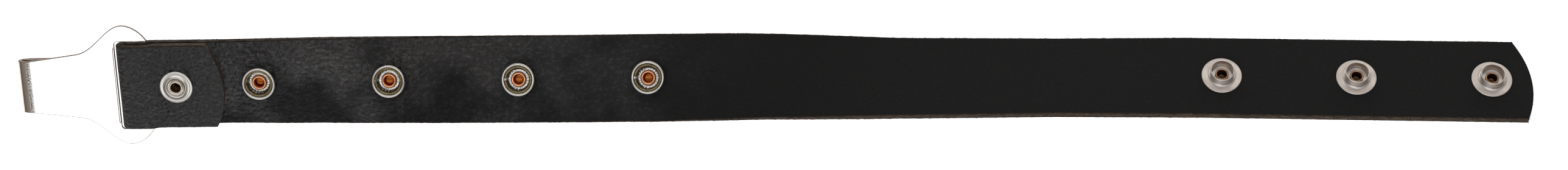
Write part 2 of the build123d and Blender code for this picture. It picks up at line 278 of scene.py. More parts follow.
class Nodes:
    """A material's node tree with one Principled shader and short helpers to fill it."""

    def __init__(self, name):
        self.material = bpy.data.materials.new(name)
        self.material.use_nodes = True
        self.tree = self.material.node_tree
        self.shader = self.tree.nodes["Principled BSDF"]

    def node(self, kind, **settings):
        made = self.tree.nodes.new(kind)
        for key, value in settings.items():
            setattr(made, key, value)
        return made

    def link(self, source, target):
        self.tree.links.new(source, target)

    def put(self, socket, value):
        if isinstance(value, bpy.types.NodeSocket):
            self.link(value, socket)
        else:
            socket.default_value = value

    def set(self, **values):
        for key, value in values.items():
            self.put(self.shader.inputs[key.replace("_", " ")], value)

    def rest(self, scale=(1, 1, 1)):
        """The unposed place on the piece in millimetres, stretched by scale."""
        place = self.node("ShaderNodeAttribute", attribute_name="rest")
        mapping = self.node("ShaderNodeMapping")
        self.link(place.outputs["Vector"], mapping.inputs["Vector"])
        mapping.inputs["Scale"].default_value = scale
        return mapping.outputs["Vector"]

    def parts(self, vector):
        split = self.node("ShaderNodeSeparateXYZ")
        self.link(vector, split.inputs[0])
        return split.outputs

    def noise(self, vector, scale, detail=3.0, rough=0.5, distort=0.0):
        made = self.node("ShaderNodeTexNoise")
        self.link(vector, made.inputs["Vector"])
        for key, value in (("Scale", scale), ("Detail", detail), ("Roughness", rough),
                           ("Distortion", distort)):
            made.inputs[key].default_value = value
        return made.outputs["Fac"]

    def cells(self, vector, scale):
        made = self.node("ShaderNodeTexVoronoi", feature="SMOOTH_F1")
        self.link(vector, made.inputs["Vector"])
        made.inputs["Scale"].default_value = scale
        return made.outputs["Distance"]

    def maths(self, operation, a, b=0.0):
        made = self.node("ShaderNodeMath", operation=operation)
        self.put(made.inputs[0], a)
        self.put(made.inputs[1], b)
        return made.outputs[0]

    def times(self, a, b):
        return self.maths("MULTIPLY", a, b)

    def plus(self, a, b):
        return self.maths("ADD", a, b)

    def ranged(self, value, low, high, to_low=0.0, to_high=1.0, smooth=False):
        made = self.node("ShaderNodeMapRange", clamp=True)
        made.interpolation_type = "SMOOTHSTEP" if smooth else "LINEAR"
        self.put(made.inputs["Value"], value)
        for key, number in (("From Min", low), ("From Max", high),
                            ("To Min", to_low), ("To Max", to_high)):
            self.put(made.inputs[key], number)
        return made.outputs["Result"]

    def ramp(self, value, *stops):
        made = self.node("ShaderNodeValToRGB")
        self.put(made.inputs["Fac"], value)
        fill_ramp(made.color_ramp.elements, stops)
        return made.outputs["Color"]

    def mix(self, share, a, b):
        made = self.node("ShaderNodeMix", data_type="RGBA")
        self.put(made.inputs[0], share)
        self.put(made.inputs[6], a if isinstance(a, bpy.types.NodeSocket) else (*a, 1.0))
        self.put(made.inputs[7], b if isinstance(b, bpy.types.NodeSocket) else (*b, 1.0))
        return made.outputs[2]

    def mix_value(self, share, a, b):
        made = self.node("ShaderNodeMix", data_type="FLOAT")
        for index, value in enumerate((share, a, b)):
            self.put((made.inputs[0], made.inputs[2], made.inputs[3])[index], value)
        return made.outputs[0]

    def bump(self, height, distance, strength=1.0, under=None):
        made = self.node("ShaderNodeBump")
        self.put(made.inputs["Height"], height)
        made.inputs["Distance"].default_value = distance
        self.put(made.inputs["Strength"], strength)
        if under is not None:
            self.link(under, made.inputs["Normal"])
        return made.outputs["Normal"]


# Along the strap, in the frame's x, where the pebbled grain gives way to bare suede
GRAIN_END = (-150.0, 10.0)
# Depth in the hook's plate where its face ends, and the place along it where its bend starts
EDGE_FACE = 0.597
CRAZED_AT = -42.1


def leather_face():
    """Side with the snaps: coated pebble grain near the hook, rubbed down to matte suede further
    on; the lighter specks on the grain are painted glints.
    """
    n = Nodes("leather_face")
    rest = n.rest()
    along, across, _ = n.parts(rest)
    suede = n.ranged(n.plus(along, n.times(n.noise(rest, 0.03), 60.0)),
                     GRAIN_END[0] + 30.0, GRAIN_END[1] + 30.0, smooth=True)
    pebble = n.plus(
        n.cells(n.rest((0.8, 1.0, 1.0)), 0.72),
        n.times(n.noise(rest, 0.9, 4.0, 0.6), 1.1),
    )
    nap = n.noise(n.rest((1.0, 1.0, 0.4)), 2.2, 6.0, 0.8)
    flecks = n.noise(rest, 1.9, 3.0, 0.8)
    pores = n.ranged(n.noise(rest, 1.3, 3.0, 0.7), 0.30, 0.40)
    creases = n.noise(n.rest((0.35, 1.0, 1.0)), 0.12, 2.0)
    # patches rises towards the +Y edge; it sets the gloss and how many painted glints gather
    # there.
    patches = n.plus(n.noise(rest, 0.045, 3.0), n.times(across, 0.007))
    gloss = n.ranged(patches, 0.36, 0.66, 0.44, 0.22)
    # Lighter specks: painted glints, light caught by the pebble grain drawn into the colour.
    painted_glints = n.times(
        n.ranged(n.noise(n.rest((0.8, 1.0, 1.0)), 0.62, 4.0, 0.75), 0.50, 0.66),
        n.ranged(patches, 0.34, 0.60, 0.25, 1.0),
    )
    n.set(
        Base_Color=n.mix(
            suede,
            n.mix(
                painted_glints,
                n.ramp(n.noise(rest, 0.35, 3.0), (0.3, (0.003, 0.003, 0.004)),
                       (0.7, (0.009, 0.009, 0.010))),
                (0.085, 0.086, 0.090),
            ),
            n.mix(
                pores, (0.006, 0.006, 0.006),
                n.ramp(flecks, (0.35, (0.013, 0.013, 0.0135)), (0.62, (0.021, 0.021, 0.021)),
                       (0.78, (0.065, 0.063, 0.060))),
            ),
        ),
        Roughness=n.mix_value(suede, gloss, n.ranged(nap, 0.3, 0.7, 0.72, 0.95)),
        Normal=n.bump(
            creases, 0.0008, 0.3,
            n.bump(
                nap, 0.0004, n.ranged(suede, 0.0, 1.0, 0.2, 0.9),
                n.bump(pebble, 0.0016, n.ranged(suede, 0.0, 1.0, 1.0, 0.06)),
            ),
        ),
        Specular_IOR_Level=n.mix_value(suede, n.ranged(patches, 0.36, 0.60, 0.35, 1.0), 0.17),
    )
    return n.material


def leather_grain():
    """Smooth finished side: the strap's underside, which is also the outside of the loop."""
    n = Nodes("leather_grain")
    rest = n.rest()
    pebble = n.plus(
        n.cells(n.rest((0.8, 1.0, 1.0)), 0.85),
        n.times(n.noise(rest, 1.0, 4.0), 1.0),
    )
    wear = n.noise(rest, 0.06, 3.0, 0.6)
    # Lighter specks: painted glints, light caught by the pebble grain drawn into the colour.
    painted_glints = n.ranged(n.noise(n.rest((0.8, 1.0, 1.0)), 0.70, 4.0, 0.75), 0.52, 0.68)
    n.set(
        Base_Color=n.mix(
            painted_glints,
            n.ramp(n.noise(rest, 0.3, 3.0), (0.3, (0.004, 0.004, 0.005)),
                   (0.75, (0.010, 0.010, 0.011))),
            (0.060, 0.061, 0.064),
        ),
        Roughness=n.ranged(wear, 0.35, 0.65, 0.26, 0.42),
        Normal=n.bump(
            n.noise(n.rest((0.4, 1.0, 1.0)), 0.1, 2.0), 0.0008, 0.3,
            n.bump(pebble, 0.0012, n.ranged(wear, 0.3, 0.7, 0.9, 0.6)),
        ),
        Specular_IOR_Level=0.6,
    )
    return n.material


def leather_edge():
    """Raw cut edge: tan and brown fibres, with the black dye soaked in from both faces."""
    n = Nodes("leather_edge")
    rest = n.rest()
    along, _, depth = n.parts(rest)
    strands = n.noise(n.rest((0.35, 1.0, 3.0)), 1.1, 6.0, 0.7, 0.6)
    blots = n.noise(n.rest((0.6, 1.0, 1.0)), 0.35, 3.0, 0.6)
    dyed = n.ranged(n.plus(n.maths("ABSOLUTE", depth), n.times(strands, 0.9)),
                    1.75, 2.15, smooth=True)
    tan = n.ramp(strands, (0.34, (0.012, 0.009, 0.008)), (0.48, (0.07, 0.052, 0.038)),
                 (0.60, (0.17, 0.125, 0.09)), (0.74, (0.40, 0.31, 0.23)))
    near_hook = n.times(n.ranged(along, -80.0, 60.0, 0.95, 0.15),
                        n.ranged(along, -252.0, -247.0, 0.3, 1.0))
    n.set(
        Base_Color=n.mix(
            n.maths("MAXIMUM", dyed, n.times(n.ranged(blots, 0.35, 0.62), near_hook)),
            tan, (0.009, 0.0085, 0.0085),
        ),
        Roughness=0.9,
        Normal=n.bump(strands, 0.0005, 0.9, n.bump(n.noise(rest, 4.0, 4.0, 0.7), 0.0002, 0.7)),
        Specular_IOR_Level=0.2,
    )
    return n.material


def loose_fibre(name, dark, light):
    n = Nodes(name)
    tone = n.noise(n.rest(), 0.7, 2.0)
    n.set(Base_Color=n.ramp(tone, (0.35, dark), (0.65, light)), Roughness=0.8,
          Normal=n.bump(n.noise(n.rest(), 6.0, 2.0), 0.0001, 0.5))
    return n.material


def nickel(name, tint, rough, pits=0.0, satin=0.0):
    """Plated metal: cloudy gloss, fine polishing scratches, and pits where pits is over 0."""
    n = Nodes(name)
    place = n.rest()
    clouds = n.noise(place, 0.25, 4.0, 0.6)
    scratches = n.noise(n.rest((8.0, 0.35, 1.0)), 1.6, 4.0, 0.65)
    colour = n.mix(n.ranged(clouds, 0.3, 0.7), tint, tuple(0.90 * c for c in tint))
    if pits:
        spots = n.ranged(n.noise(place, 1.7, 5.0, 0.75), 0.64, 0.70)
        colour = n.mix(n.times(spots, pits), colour, (0.10, 0.085, 0.075))
    n.set(
        Base_Color=colour, Metallic=1.0,
        Roughness=n.ranged(n.plus(clouds, n.times(scratches, 0.4)),
                           0.45, 0.95, rough, rough + 0.10 + satin),
        Normal=n.bump(scratches, 0.00002, 0.25 + satin),
    )
    return n.material


def hook_plating():
    """Bright plate; brown and dull on its sheared edges, and crazed where it starts to bend."""
    n = Nodes("hook_polish")
    place = n.rest()
    along, _, depth = n.parts(place)
    clouds = n.noise(place, 0.25, 4.0, 0.6)
    edge = n.ranged(n.maths("ABSOLUTE", depth), EDGE_FACE, EDGE_FACE - 0.1)
    streaks = n.noise(n.rest((1.5, 0.5, 4.0)), 1.2, 4.0, 0.6)
    strip = n.times(
        n.ranged(along, CRAZED_AT - 1.1, CRAZED_AT - 0.7),
        n.ranged(along, CRAZED_AT + 0.7, CRAZED_AT - 0.2),
    )
    crazing = n.ranged(n.noise(n.rest((1.0, 0.7, 1.0)), 3.2, 5.0, 0.8), 0.46, 0.54)
    crazed = n.times(strip, crazing)
    bent = n.ranged(along, CRAZED_AT, CRAZED_AT - 1.0)
    face = n.mix(bent, (0.915, 0.91, 0.905), (0.66, 0.59, 0.52))
    rim = n.ramp(streaks, (0.35, (0.07, 0.045, 0.03)), (0.65, (0.30, 0.23, 0.18)))
    n.set(
        Base_Color=n.mix(edge, n.mix(crazed, face, (0.03, 0.025, 0.022)), rim),
        Metallic=1.0,
        Roughness=n.mix_value(edge, n.ranged(clouds, 0.3, 0.7, 0.10, 0.17), 0.30),
        Normal=n.bump(crazed, 0.00015, 0.6),
    )
    return n.material


def copper(name, bore_shade, bright):
    """Copper barrel: bright on the rolled rim, dark and orange down the bore, where the darkening
    is painted shade.
    """
    n = Nodes(name)
    place = n.rest()
    _, _, height = n.parts(place)
    tarnish = n.noise(place, 1.1, 4.0, 0.65)
    # Painted shade: the colour goes from the bright rim colour to the first, darker colour lower
    # in the barrel, standing in for shade down the bore.
    n.set(
        Base_Color=n.mix(
            n.ranged(n.plus(height, n.times(tarnish, 0.5)), 0.6, 2.6),
            bore_shade, bright,
        ),
        Metallic=1.0,
        Roughness=n.ranged(tarnish, 0.3, 0.7, 0.16, 0.34),
        Normal=n.bump(tarnish, 0.00005, 0.3),
    )
    return n.material


def olive_wire():
    n = Nodes("olive_wire")
    tone = n.noise(n.rest(), 0.9, 4.0, 0.6)
    n.set(
        Base_Color=n.ramp(tone, (0.3, (0.11, 0.09, 0.04)), (0.7, (0.34, 0.29, 0.16))),
        Metallic=1.0, Roughness=n.ranged(tone, 0.3, 0.7, 0.22, 0.42),
        Normal=n.bump(tone, 0.00004, 0.4),
    )
    return n.material


LEATHER = [
    leather_face(),
    leather_edge(),
    leather_grain(),
    loose_fibre("fibre_black", (0.008, 0.007, 0.007), (0.035, 0.028, 0.023)),
    loose_fibre("fibre_tan", (0.16, 0.115, 0.08), (0.42, 0.33, 0.24)),
]
FACE_SIDE, CUT_EDGE, GRAIN_SIDE, FIBRE_BLACK, FIBRE_TAN = range(5)
HOOK_NICKEL = hook_plating()
LIP_NICKEL = nickel("lip_polish", (0.92, 0.90, 0.87), 0.12)
SNAP_NICKEL = nickel("snap_polish", (0.66, 0.64, 0.61), 0.20)
STUD_NICKEL = nickel("stud_satin", (0.74, 0.69, 0.65), 0.26, pits=0.8, satin=0.12)
CAP_NICKEL = nickel("cap_polish", (0.78, 0.77, 0.75), 0.16)
# The first colour of each barrel is painted shade for its bore.
COPPER_POST = copper("copper_post", (0.30, 0.085, 0.018), (0.78, 0.38, 0.20))
COPPER_EYELET = copper("copper_eyelet", (0.10, 0.06, 0.035), (0.46, 0.28, 0.17))
BRASS_TUBE = copper("rivet_tube", (0.10, 0.06, 0.02), (0.66, 0.58, 0.50))
WIRE = olive_wire()


def set_rest(obj, rest):
    """Keep each point's unposed place, in millimetres, for the materials."""
    made = obj.data.attributes.new("rest", "FLOAT_VECTOR", "POINT")
    made.data.foreach_set("vector", np.asarray(rest, np.float32).ravel())


def local_rest(obj, place):
    """Rest places measured in the piece's own frame, so like pieces still differ a little."""
    points = np.array([v.co for v in obj.data.vertices]) / MM - place.origin
    axes = np.column_stack([place.x, place.y, place.z])
    set_rest(obj, points @ axes + np.array([place.origin[0], 0.0, 0.0]))


# ---- Leather skin ----

STATION_STEP = 0.75
FACE_DIVISIONS = 34
CORNER = 0.45
CORNER_STEPS = 3
EDGE_DIVISIONS = 4
HALF = STRAP_WIDTH / 2


def section():
    """Closed outline of the strap's section as (y, z), with the material of each step."""
    ys = np.linspace(-HALF + CORNER, HALF - CORNER, FACE_DIVISIONS + 1)
    points = [(y, FACE) for y in ys]
    kinds = [FACE_SIDE] * FACE_DIVISIONS
    for side in (1, -1):
        cy, cz = HALF - CORNER, FACE - CORNER
        upper = [(cy + CORNER * math.sin(a), cz + CORNER * math.cos(a))
                 for a in np.linspace(0, math.pi / 2, CORNER_STEPS + 1)[1:]]
        flat = [(HALF, z) for z in np.linspace(cz, -cz, EDGE_DIVISIONS + 1)[1:-1]]
        lower = [(y, -z) for y, z in reversed(upper)]
        edge = [(side * y, side * z) for y, z in upper + flat + lower]
        points += edge
        kinds += [CUT_EDGE] * (len(edge) + 1)
        if side == 1:
            points += [(y, -FACE) for y in reversed(ys)]
            kinds += [GRAIN_SIDE] * FACE_DIVISIONS
    return np.array(points), kinds


SECTION, SECTION_KINDS = section()
RING = len(SECTION)
BACK_START = FACE_DIVISIONS + 1 + (RING - 2 * (FACE_DIVISIONS + 1)) // 2


def ragged(s, y, z):
    """How far the cut edge stands out at s along the strap, by wandering, nicks and fuzz."""
    side = 1.0 if y > 0 else -1.0
    wander = noise.noise(Vector((s * 0.035, side * 9.0, 0.0))) * 0.22
    nicks = noise.noise(Vector((s * 0.75, side * 5.0, z * 0.8))) * 0.16
    fuzz = noise.noise(Vector((s * 2.3, side * 3.0, z * 1.9))) * 0.12
    return wander + nicks + fuzz


def surface_lift(s, y, z):
    """Slow unevenness of the leather's two faces."""
    slow = noise.noise(Vector((s * 0.045, y * 0.07, 3.0 if z > 0 else 8.0))) * 0.10
    fine = noise.noise(Vector((s * 0.28, y * 0.3, 1.0 if z > 0 else 6.0))) * 0.035
    return slow + fine


PRESS_DEPTH = SEAT + 0.04
PRESS_RIM = 0.15         # how far the flat seat stands out past the snap
PRESS_ROLL = 0.9         # how far the face takes to come back up
BULGE_AT, BULGE_WIDE, BULGE_HIGH = 2.2, 1.2, 0.05
PRESS_REACH = 8.0


def pressed(distance, radius):
    """The face is pressed down under a snap, rolls over beside it, and comes back level."""
    past = distance - radius
    if distance < radius + PRESS_RIM:
        return -PRESS_DEPTH
    roll = math.exp(-((past - PRESS_RIM) / PRESS_ROLL))
    bulge = math.exp(-(((past - BULGE_AT) / BULGE_WIDE) ** 2))
    return -PRESS_DEPTH * roll + BULGE_HIGH * bulge


# Each snap's place along the strap and its radius on the face and on the back
SNAPS = [(x, SOCKET_RADIUS, CAP_RADIUS) for x in SOCKET_X] + [
    (FOLD_LAST + (SNAP_MARGIN + SNAP_PITCH * n) * tail_place.x[0], STUD_FLANGE, CAP_RADIUS)
    for n in range(STUD_COUNT)
]


class Ribbon:
    """Stations of the strap's skin: rows of points, with their unposed places for materials."""

    def __init__(self):
        self.rows, self.rests = [], []

    def add(self, place, s, along, slide=None, amount=None, snaps=()):
        """One section at s on the path; amount(y) slides its points by that much along slide."""
        slide = place.x if slide is None else slide
        sense = 1.0 if place.x.dot(slide) >= 0 else -1.0
        row, rest = [], []
        for y, z in SECTION:
            du = amount(y) if amount else 0.0
            out = 0.0
            if abs(y) > HALF - CORNER:
                out = math.copysign(ragged(s, y, z) * (abs(y) - HALF + CORNER) / CORNER, y)
            lift = surface_lift(s, y, z) * min(1.0, (HALF - abs(y)) / 3.0)
            for x_snap, above, below in snaps:
                radius = above if z > 0 else below
                distance = math.hypot(along + du - x_snap, y)
                if radius and distance < radius + PRESS_REACH:
                    lift = lift * max(0.0, min(1.0, (distance - radius) / 2.0))
                    lift += pressed(distance, radius)
            lift *= z / FACE
            row.append(place.origin + slide * du + place.y * (y + out) + place.z * (z + lift))
            rest.append((s + sense * du, y, z))
        self.rows.append(row)
        self.rests.append(rest)

    def piece(self, name, first, last, holes=()):
        """Mesh of the stations first..last, closed at both ends, open through the holes."""
        rows = np.array(self.rows[first:last + 1])
        rests = np.array(self.rests[first:last + 1])
        count = len(rows)
        index = lambda i, k: i * RING + k % RING
        gone = set()
        for i in range(count - 1):
            for k in range(FACE_DIVISIONS):
                y = (SECTION[k][0] + SECTION[k + 1][0]) / 2
                s = rests[i:i + 2, k, 0].mean()
                if any(math.hypot(s - hole_s, y) < radius for hole_s, radius in holes):
                    gone.add((i, k))
        faces, kinds = [], []
        mirror = lambda k: BACK_START + FACE_DIVISIONS - k
        back_gone = {(i, mirror(k) - 1) for i, k in gone}
        for i in range(count - 1):
            for k in range(RING):
                if (i, k) in gone or (i, k) in back_gone:
                    continue
                faces.append((index(i, k), index(i, k + 1), index(i + 1, k + 1), index(i + 1, k)))
                kinds.append(SECTION_KINDS[k])
        for i, k in gone:
            sides = (((i - 1, k), (i, k), (i, k + 1)), ((i + 1, k), (i + 1, k + 1), (i + 1, k)),
                     ((i, k - 1), (i + 1, k), (i, k)), ((i, k + 1), (i, k + 1), (i + 1, k + 1)))
            for beyond, a, b in sides:
                if beyond in gone:
                    continue
                faces.append((index(*a), index(*b),
                              index(b[0], mirror(b[1])), index(a[0], mirror(a[1]))))
                kinds.append(CUT_EDGE)
        for i in (0, count - 1):
            for k in range(FACE_DIVISIONS):
                quad = (index(i, k), index(i, k + 1), index(i, mirror(k + 1)), index(i, mirror(k)))
                faces.append(quad if i == 0 else quad[::-1])
                kinds.append(CUT_EDGE)
            for start in (FACE_DIVISIONS, BACK_START + FACE_DIVISIONS):
                ring = [index(i, start + n) for n in range(RING - BACK_START - FACE_DIVISIONS + 1)]
                faces.append(tuple(ring if i == 0 else ring[::-1]))
                kinds.append(CUT_EDGE)
        points, place = rows.reshape(-1, 3).tolist(), rests.reshape(-1, 3).tolist()
        fringe(rows, rests, points, place, faces, kinds, last == len(self.rows) - 1)
        obj = new_object(name, points, faces, LEATHER, kinds, smooth_angle=50.0)
        recalc(obj)
        set_rest(obj, place)
        return obj


FIBRE_TIP_BEND = 0.35
FIBRE_SHORTEST = 0.25
FIBRE_THICK = (0.035, 0.065)
LONG_FIBRES = 0.03       # share of fibres that are twice as long
TAN_FROM = -20.0         # place along the strap from which more of the fibres are undyed
TAN_FIBRES = (0.05, 0.16)


def fibre(points, faces, kinds, base, aim, side, length, thick, kind):
    """A thin tapered hair of three bent spans."""
    start = len(points)
    across = np.cross(aim, side)
    for reach, width in ((-0.12, 1.0), (0.4, 0.8), (0.75, 0.55)):
        centre = base + aim * length * reach + side * length * FIBRE_TIP_BEND * reach * abs(reach)
        for a in (0.0, 2.1, 4.2):
            points.append(centre + (across * math.cos(a) + side * math.sin(a)) * thick * width)
    points.append(base + aim * length + side * length * FIBRE_TIP_BEND)
    for low in (start, start + 3):
        for k in range(3):
            m = (k + 1) % 3
            faces.append((low + k, low + m, low + 3 + m, low + 3 + k))
    for k in range(3):
        faces.append((start + 6 + k, start + 6 + (k + 1) % 3, start + 9))
    faces.append((start + 2, start + 1, start))
    kinds.extend([kind] * 10)
    return len(points) - start


def fuzziness(s, side):
    """Loose fibres per station on the cut edge at s, on the +Y or the -Y side."""
    if side > 0:
        return 0.3 + 1.9 * smooth_share(s, -120.0, -20.0)
    return 0.5 + 1.7 * smooth_share(s, -205.0, -185.0) * (1.0 - smooth_share(s, -60.0, 10.0))


def fringe(rows, rests, points, place, faces, kinds, at_tail):
    """Loose fibres standing out of a piece's cut edges, and of the strap's raw end."""
    def hair(i, k, outward, spread, reach):
        aim = unit(outward + np.array([rng.uniform(-spread, spread) for _ in range(3)]))
        side = unit(np.cross(aim, [rng.uniform(-1, 1), rng.uniform(-1, 1), 0.3]))
        length = rng.uniform(FIBRE_SHORTEST, reach) * (2.0 if rng.random() < LONG_FIBRES else 1.0)
        tan = TAN_FIBRES[0] if rests[i][k][0] < TAN_FROM else TAN_FIBRES[1]
        kind = FIBRE_TAN if rng.random() < tan else FIBRE_BLACK
        count = fibre(points, faces, kinds, rows[i][k], aim, side, length,
                      rng.uniform(*FIBRE_THICK), kind)
        place.extend([rests[i][k].tolist()] * count)

    for i in range(1, len(rows) - 1):
        width = unit(rows[i][FACE_DIVISIONS] - rows[i][0])
        for side, low, high in ((1, FACE_DIVISIONS + 1, BACK_START - 1),
                                (-1, BACK_START + FACE_DIVISIONS + 1, RING - 1)):
            amount = fuzziness(rests[i][0][0], side)
            for _ in range(int(amount + rng.random())):
                hair(i, rng.randint(low, high), width * side, 0.6, 0.75)
    if at_tail:
        along = unit(rows[-1][0] - rows[-2][0])
        for k in range(RING):
            hair(len(rows) - 1, k, along, 0.7, 0.9)
            hair(len(rows) - 1, k, along, 0.5, 0.6)


def smooth_share(value, low, high):
    t = max(0.0, min(1.0, (value - low) / (high - low)))
    return t * t * (3 - 2 * t)


# ---- Path of the skin: the flap, the fold round the bar, and the strap to its tail ----

def head_u(x):
    return (x - RIVET_X) / head_place.x[0]


FOLD_U = head_u(LOOP_FOLD_X)
FOLD_RADIUS = LOOP_GAP / 2 + FACE
FRONT_HIGH = FACE + LOOP_GAP + FACE
FRONT_LOW = FACE + RIVET_PLY_GAP + FACE
RAMP_START = head_u(BAR_X) + 3.0
RAMP_END = -WASHER_RADIUS - 0.2
flap_curve = np.polyfit([-HALF, 0.4, HALF], [FLAP_CORNER_X[0], FLAP_CROWN_X, FLAP_CORNER_X[1]], 2)
tail_curve = np.polyfit([-HALF, -0.8, HALF], [TAIL_CORNER_X[0], TAIL_CROWN_X, TAIL_CORNER_X[1]], 2)
FLAP_END = np.polyval(flap_curve, 0.0)
TAIL_END = np.polyval(tail_curve, 0.0)
FOLD_S = LOOP_FOLD_X - math.pi * FOLD_RADIUS
RIVET_FRONT_S = FOLD_S + FOLD_U


def evenly(start, stop):
    """Places from start to stop, both included, about a station's step apart."""
    return np.linspace(start, stop, max(2, round(abs(stop - start) / STATION_STEP)) + 1)


ribbon = Ribbon()
seams = {}
front, back = -head_place.x, -head_place.z
for u in evenly(head_u(FLAP_END), FOLD_U):
    high = FRONT_LOW + (FRONT_HIGH - FRONT_LOW) * smooth_share(-u, -RAMP_END, -RAMP_START)
    share = smooth_share(u, RAMP_END, head_u(FLAP_END))
    ribbon.add(
        Place(head_place.at(u, 0, high), front, back), FOLD_S + FOLD_U - u, u, head_place.x,
        lambda y, b=share: b * (np.polyval(flap_curve, y) - FLAP_END),
    )
centre_high = FACE + LOOP_GAP / 2
for a in np.linspace(90, 270, 15)[1:-1]:
    c, d = math.cos(math.radians(a)), math.sin(math.radians(a))
    ribbon.add(
        Place(
            head_place.at(FOLD_U + FOLD_RADIUS * c, 0, centre_high + FOLD_RADIUS * d),
            -d * head_place.x + c * head_place.z, -c * head_place.x - d * head_place.z,
        ),
        FOLD_S + math.radians(a - 90) * FOLD_RADIUS, FOLD_U, head_place.x,
    )
for u in evenly(FOLD_U, head_u(FLAP_CROWN_X))[:-1]:
    ribbon.add(head_place.moved(u), u * head_place.x[0] + RIVET_X, u,
               snaps=[(0.0, None, CAP_RADIUS)])

# Where one piece of the skin ends and the next begins: beside the snaps, then halfway between
# the fold lines
SNAP_ROOM = 8.5
FIRST_FOLD_ROOM = 3.0
LAST_FOLD_ROOM = 2.4
EDGES = (
    [FLAP_CROWN_X, SOCKET_X[1] + SNAP_ROOM, SOCKET_X[2] - SNAP_ROOM, SOCKET_X[2] + SNAP_ROOM,
     SOCKET_X[3] - SNAP_ROOM, FOLD_X[0] - FIRST_FOLD_ROOM]
    + [(a + b) / 2 for a, b in zip(FOLD_X, FOLD_X[1:])]
    + [FOLD_X[-1] + LAST_FOLD_ROOM, TAIL_END]
)
for start, stop in zip(EDGES, EDGES[1:]):
    seams[start] = len(ribbon.rows)
    for x in evenly(start, stop)[:-1 if stop != TAIL_END else None]:
        share = smooth_share(x, LAST_STUD_X - SNAP_MARGIN, TAIL_END)
        ribbon.add(
            strap_place(x), x, x, None,
            lambda y, b=share: b * (np.polyval(tail_curve, y) - TAIL_END), SNAPS,
        )
seams[TAIL_END] = len(ribbon.rows) - 1

POST_HOLE = 3.4


def strap_piece(name, first, last, holes=()):
    obj = ribbon.piece(name, first, last, [(s, POST_HOLE) for s in holes])
    return obj


def rigid(name, first, last, holes, body, *nodes):
    obj = strap_piece(name, first, last, holes)
    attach(obj, body)
    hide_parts(*nodes)


def crossing(name, start, stop, bend=None):
    """Skin lying from one body to the next, with its transform baked; the places at its ends, or
    at bend's ends, are worked out but not used.
    """
    obj = strap_piece(name, seams[start], seams[stop])
    first, last = [(strap_place(x).origin * MM).tolist() for x in bend or (start, stop)]
    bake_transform(obj)
    return obj


rigid("leather_head", 0, seams[EDGES[1]], [RIVET_FRONT_S, RIVET_X, SOCKET_X[0], SOCKET_X[1]],
      "hook_end", "strap_head", "strap_socket_2")
crossing("leather_twist_far", EDGES[1], EDGES[2])
rigid("leather_third", seams[EDGES[2]], seams[EDGES[3]], [SOCKET_X[2]],
      "strap_third_socket", "strap_socket_3")
crossing("leather_twist_near", EDGES[3], EDGES[4])
rigid("leather_middle", seams[EDGES[4]], seams[EDGES[5]], [SOCKET_X[3]],
      "strap_middle", "strap_socket_4")
for n in range(FOLD_COUNT):
    start, stop = EDGES[5 + n], EDGES[6 + n]
    reach = min(FOLD_X[n] - start, stop - FOLD_X[n])
    piece = crossing(
        f"leather_fold_{n + 1}", start, stop,
        (FOLD_X[n] - reach, FOLD_X[n] + reach),
    )
    if n:
        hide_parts(f"strap_fold_{n}")
rigid("leather_tail", seams[EDGES[-2]], seams[TAIL_END],
      [x for x, _, _ in SNAPS[len(SOCKET_X):]], "tail", "strap_tail")

# ---- Snap fasteners ----

BASE = FACE - SEAT
FOOT = SEAT - FACE
SHEET = 0.45
SOCKET_HEIGHT = 3.2
RIM_WIRE = 0.555
RIM_RADIUS = 5.855
STUD_HEIGHT = 4.3
POST_BORE = 1.83
POST_RADIUS = 2.2
POST_FLARE = 2.87
POST_HEIGHT = 1.5
EYELET_FLARE = 2.5
EYELET_HEIGHT = 1.1
SPRING_RADIUS = 4.88
SPRING_WIRE = 0.45
SPRING_HEIGHT = 2.3
SPRING_SPLIT = math.radians(9.0)


def cap_outline():
    """Domed cap on the back, its edge turned in against the leather."""
    dome = [
        (7.2 * t, -FACE - 0.35 - 1.15 * (1 - t * t) ** 0.6) for t in np.linspace(0.999, 0.0, 16)
    ]
    return ([(0, FOOT), (CAP_RADIUS - 0.15, FOOT), (CAP_RADIUS, FOOT - 0.12),
             (CAP_RADIUS, FOOT - 0.42)] + dome)


def socket_outline():
    """Drawn cup with a rolled rim and a floor that rises towards the post."""
    rim, high, wire = RIM_RADIUS, BASE + SOCKET_HEIGHT - RIM_WIRE, RIM_WIRE
    return (
        [(2.3, BASE), (5.75, BASE)]
        + arc(5.75, BASE + SHEET, SHEET, -90, 0, 5)
        + [(6.2, high - 0.55)]
        + arc(rim, high, wire, -38, 200, 18)
        + [(rim - 0.28, high - 0.62), (5.72, BASE + 1.0)]
        + arc(5.30, BASE + SHEET + 0.42, 0.42, 0, -90, 5)
        + [(4.3, BASE + SHEET), (4.05, BASE + SHEET + 0.16), (3.1, BASE + SHEET + 0.2),
           (2.85, BASE + SHEET + 0.05), (2.3, BASE + SHEET + 0.05)]
    )


def stamped(r, z, a):
    """Ring of plain stamped bars in the floor of the socket."""
    if not (3.0 < r < 4.2 and z > BASE + SHEET):
        return 0.0
    return 0.09 * math.tanh(3.0 * math.sin(22 * a)) * (1.0 + 0.4 * math.sin(3 * a + 1.0))


def barrel_outline(bore, radius, flare, floor, height):
    """Tubular rivet with its top rolled outwards and a closed, rounded bottom."""
    roll = (flare - bore) / 2
    return (
        [(0, FOOT), (radius, FOOT), (radius, floor), (flare - roll * 0.5, floor)]
        + arc(bore + roll, height - roll, roll, -35, 180, 14)
        + [(bore, FOOT + SHEET + 0.5)]
        + [(bore * math.cos(a), FOOT + SHEET + 0.5 - 0.5 * math.sin(a))
           for a in np.linspace(0.3, math.pi / 2, 6)]
    )


